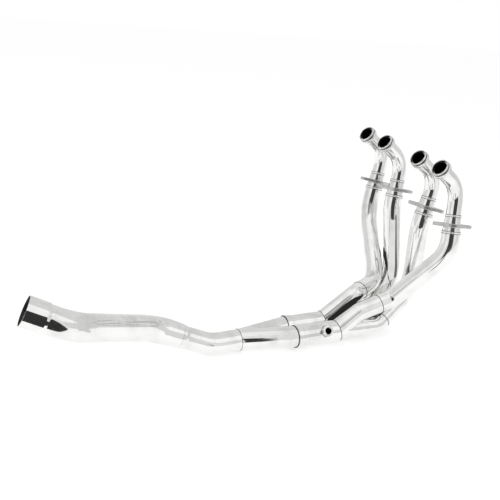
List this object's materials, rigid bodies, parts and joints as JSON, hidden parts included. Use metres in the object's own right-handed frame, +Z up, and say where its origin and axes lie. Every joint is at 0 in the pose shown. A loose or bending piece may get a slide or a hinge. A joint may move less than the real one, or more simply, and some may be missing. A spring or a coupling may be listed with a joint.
{
  "type": "motorcycle exhaust header",
  "caption": "Four-into-two-into-one polished stainless exhaust header for an inline four-cylinder motorcycle, with collars, loose port flanges, sensor bung and link pipe.",
  "frame": {"origin": "middle of the row of four ports, in the plane where the collars seal", "axes": "+X to the front of the motorcycle, +Y to its left side, +Z up"},
  "size_m": [1.0232, 0.3828, 0.4604],
  "materials": {
    "polished_steel": "polished",
    "turned_steel": "turned",
    "flange_steel": "satin"
  },
  "bodies": {
    "root": {"port_collar_1": "turned_steel", "port_collar_2": "turned_steel", "port_collar_3": "turned_steel", "port_collar_4": "turned_steel", "upper_pipe_1": "polished_steel", "upper_pipe_2": "polished_steel", "upper_pipe_3": "polished_steel", "upper_pipe_4": "polished_steel", "expander_1": "polished_steel", "expander_2": "polished_steel", "expander_3": "polished_steel", "expander_4": "polished_steel", "lower_pipe_1": "polished_steel", "lower_pipe_2": "polished_steel", "lower_pipe_3": "polished_steel", "lower_pipe_4": "polished_steel", "port_flange_1": "flange_steel", "port_flange_2": "flange_steel", "port_flange_3": "flange_steel", "port_flange_4": "flange_steel", "pair_collector_left": "polished_steel", "pair_collector_right": "polished_steel", "secondary_pipe_left": "polished_steel", "secondary_pipe_right": "polished_steel", "sensor_bung": "turned_steel", "final_collector": "polished_steel", "link_pipe": "polished_steel", "outlet_pipe": "polished_steel", "spring_hook": "turned_steel"}
  },
  "joints": []
}
